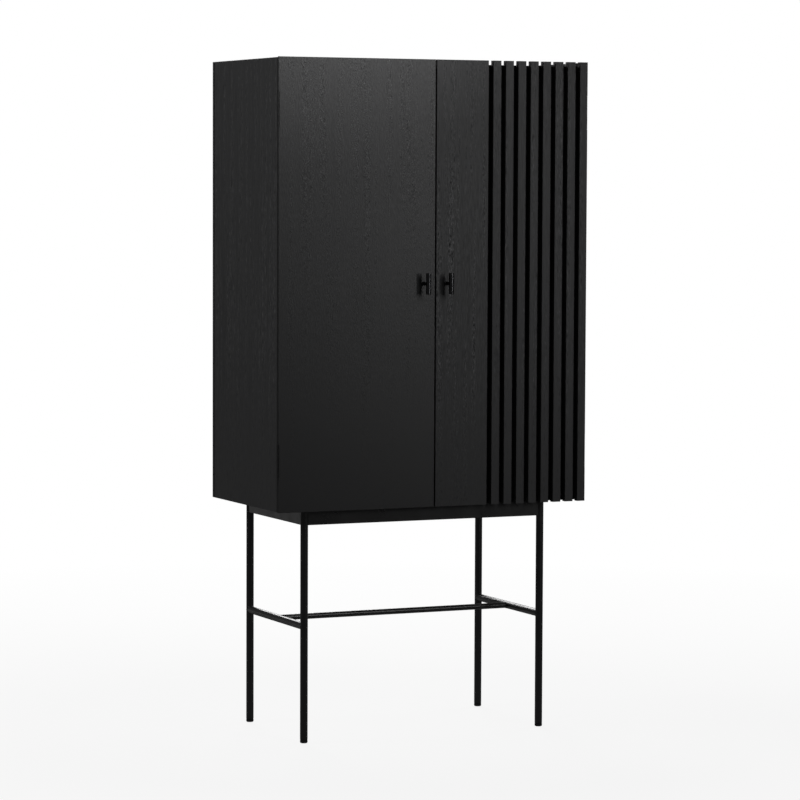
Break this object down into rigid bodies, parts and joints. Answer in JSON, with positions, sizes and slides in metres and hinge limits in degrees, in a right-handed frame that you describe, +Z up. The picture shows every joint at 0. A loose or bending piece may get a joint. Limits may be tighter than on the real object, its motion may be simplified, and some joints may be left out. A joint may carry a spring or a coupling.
{
  "type": "china cabinet",
  "caption": "Tall two-door display cabinet in black-stained oak, one door plain and one slatted, with T-bar knobs, inner shelves and a slim steel stand with an H stretcher.",
  "frame": {"origin": "centre of the bounding box in plan, on the floor under the feet", "axes": "+Z up, -Y towards the doors and knobs, +X towards the slatted right door"},
  "size_m": [0.8, 0.441, 1.6],
  "materials": {
    "oak": "black-stained open-pore oak veneer, matt lacquer",
    "inside_board": "black board, matt",
    "steel": "black powder coat, satin",
    "zinc": "black zinc plate",
    "nylon": "moulded, matt"
  },
  "bodies": {
    "cabinet": {"left_side_panel": "oak", "right_side_panel": "oak", "bottom_panel": "oak", "top_panel": "oak", "back_panel": "inside_board", "shelf_1": "inside_board", "shelf_2": "inside_board", "shelf_1_peg_left_front": "zinc", "shelf_1_peg_left_back": "zinc", "shelf_1_peg_right_front": "zinc", "shelf_1_peg_right_back": "zinc", "shelf_2_peg_left_front": "zinc", "shelf_2_peg_left_back": "zinc", "shelf_2_peg_right_front": "zinc", "shelf_2_peg_right_back": "zinc", "left_lower_hinge_fixed_leaf": "steel", "left_upper_hinge_fixed_leaf": "steel", "right_lower_hinge_fixed_leaf": "steel", "right_upper_hinge_fixed_leaf": "steel", "left_catch": "nylon", "right_catch": "nylon", "front_left_leg": "steel", "front_right_leg": "steel", "back_left_leg": "steel", "back_right_leg": "steel", "front_rail": "steel", "back_rail": "steel", "left_rail": "steel", "right_rail": "steel", "left_stretcher": "steel", "right_stretcher": "steel", "long_stretcher": "steel", "front_left_foot_glide": "nylon", "front_right_foot_glide": "nylon", "back_left_foot_glide": "nylon", "back_right_foot_glide": "nylon"},
    "left_door": {"left_door_board": "oak", "left_door_backing": "inside_board", "left_knob_bar": "steel", "left_knob_stem": "steel", "left_knob_screw": "zinc", "left_lower_hinge_door_leaf": "steel", "left_upper_hinge_door_leaf": "steel", "left_strike_plate": "zinc"},
    "right_door": {"right_door_board": "oak", "right_door_backing": "inside_board", "right_door_slat_1": "oak", "right_door_slat_2": "oak", "right_door_slat_3": "oak", "right_door_slat_4": "oak", "right_door_slat_5": "oak", "right_door_slat_6": "oak", "right_door_slat_7": "oak", "right_door_slat_8": "oak", "right_knob_bar": "steel", "right_knob_stem": "steel", "right_knob_screw": "zinc", "right_lower_hinge_door_leaf": "steel", "right_upper_hinge_door_leaf": "steel", "right_strike_plate": "zinc"}
  },
  "joints": [
    {"name": "left_door_hinge", "type": "hinge", "parent": "cabinet", "child": "left_door", "pos_m": [-0.398, -0.1875, 1.075], "axis": [0, 0, -1], "range_deg": [0, 110]},
    {"name": "right_door_hinge", "type": "hinge", "parent": "cabinet", "child": "right_door", "pos_m": [0.398, -0.1875, 1.075], "axis": [0, 0, 1], "range_deg": [0, 110]}
  ]
}
